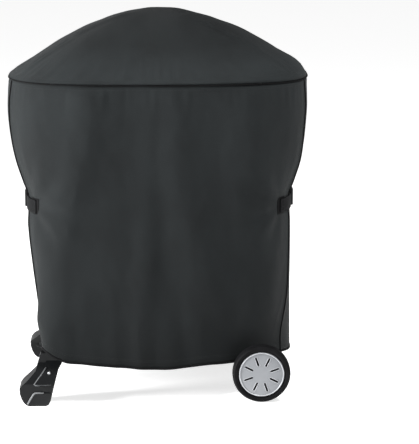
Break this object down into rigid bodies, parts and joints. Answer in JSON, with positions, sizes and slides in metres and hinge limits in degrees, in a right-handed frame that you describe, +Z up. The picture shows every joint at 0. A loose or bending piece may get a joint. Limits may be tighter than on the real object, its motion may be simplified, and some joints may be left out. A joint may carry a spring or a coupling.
{
  "type": "grill cover on a cart grill",
  "caption": "Fitted grey fabric cover with a domed top, piping, cinch straps and buckles, over a small gas grill on a folding cart with wheels and moulded feet.",
  "frame": {"origin": "on the ground, under the middle of the cover's outline seen from above", "axes": "+Z up; -Y is the front of the grill, with the controls; +X towards the wheels"},
  "size_m": [0.818, 0.562, 1.038],
  "materials": {
    "fabric_grey": "matte coated woven polyester",
    "piping_black": "black woven binding",
    "webbing_black": "black ribbed webbing",
    "plastic_black": "black moulded plastic, satin",
    "tube_black": "black powder coat",
    "steel": "zinc-plated steel",
    "tyre_black": "black tyre",
    "cap_grey": "silver-grey moulded plastic, satin",
    "cast_aluminium": "grey cast aluminium",
    "lid_grey": "dark grey enamel",
    "cast_iron": "black enamelled cast iron"
  },
  "bodies": {
    "cart_and_grill": {"front_foot": "plastic_black", "rear_foot": "plastic_black", "front_pivot_bush": "plastic_black", "rear_pivot_bush": "plastic_black", "lid_handle": "plastic_black", "left_handle_post": "plastic_black", "right_handle_post": "plastic_black", "control_panel": "plastic_black", "front_foot_leg": "tube_black", "rear_foot_leg": "tube_black", "front_wheel_leg": "tube_black", "rear_wheel_leg": "tube_black", "foot_crossbar": "tube_black", "left_crossbar": "tube_black", "right_crossbar": "tube_black", "front_cradle_rail": "tube_black", "rear_cradle_rail": "tube_black", "front_foot_screw": "steel", "rear_foot_screw": "steel", "front_pivot_bolt": "steel", "rear_pivot_bolt": "steel", "axle": "steel", "burner_tube": "steel", "drip_tray": "steel", "firebox": "cast_aluminium", "left_lid_hinge": "cast_aluminium", "right_lid_hinge": "cast_aluminium", "grill_lid": "lid_grey", "cooking_grate": "cast_iron"},
    "cover": {"cover_top": "fabric_grey", "cover_right": "fabric_grey", "cover_rear": "fabric_grey", "cover_left": "fabric_grey", "cover_front": "fabric_grey", "top_piping": "piping_black", "hem_binding": "piping_black", "seam_rear_right": "piping_black", "seam_rear_left": "piping_black", "seam_front_left": "piping_black", "seam_front_right": "piping_black", "patch_left_front": "piping_black", "patch_left_rear": "piping_black", "patch_right_front": "piping_black", "patch_right_rear": "piping_black", "strap_left_front": "webbing_black", "strap_left_rear": "webbing_black", "strap_right_front": "webbing_black", "strap_right_rear": "webbing_black", "buckle_left_socket": "plastic_black", "buckle_right_socket": "plastic_black"},
    "front_wheel": {"front_wheel_tyre": "tyre_black", "front_wheel_hub": "plastic_black", "front_wheel_cap": "cap_grey"},
    "rear_wheel": {"rear_wheel_tyre": "tyre_black", "rear_wheel_hub": "plastic_black", "rear_wheel_cap": "cap_grey"},
    "left_plug": {"buckle_left_plug": "plastic_black"},
    "right_plug": {"buckle_right_plug": "plastic_black"},
    "knob": {"control_knob": "plastic_black"},
    "button": {"igniter_button": "steel"}
  },
  "joints": [
    {"name": "cover_lift", "type": "slide", "parent": "cart_and_grill", "child": "cover", "axis": [0, 0, 1], "range_m": [0, 0.95]},
    {"name": "front_wheel_spin", "type": "hinge", "parent": "cart_and_grill", "child": "front_wheel", "pos_m": [0.279, -0.246, 0.078], "axis": [0, 1, 0], "continuous": true},
    {"name": "rear_wheel_spin", "type": "hinge", "parent": "cart_and_grill", "child": "rear_wheel", "pos_m": [0.279, 0.246, 0.078], "axis": [0, 1, 0], "continuous": true},
    {"name": "left_buckle_release", "type": "slide", "parent": "cover", "child": "left_plug", "axis": [0, 1, 0], "range_m": [0, 0.024]},
    {"name": "right_buckle_release", "type": "slide", "parent": "cover", "child": "right_plug", "axis": [0, 1, 0], "range_m": [0, 0.024]},
    {"name": "control_knob_turn", "type": "hinge", "parent": "cart_and_grill", "child": "knob", "pos_m": [0, -0.2224, 0.735], "axis": [0, 1, 0], "range_deg": [0, 150]},
    {"name": "igniter_push", "type": "slide", "parent": "cart_and_grill", "child": "button", "axis": [0, 1, 0], "range_m": [0, 0.004], "stiffness_N_per_m": 800, "springref_m": -0.003}
  ]
}
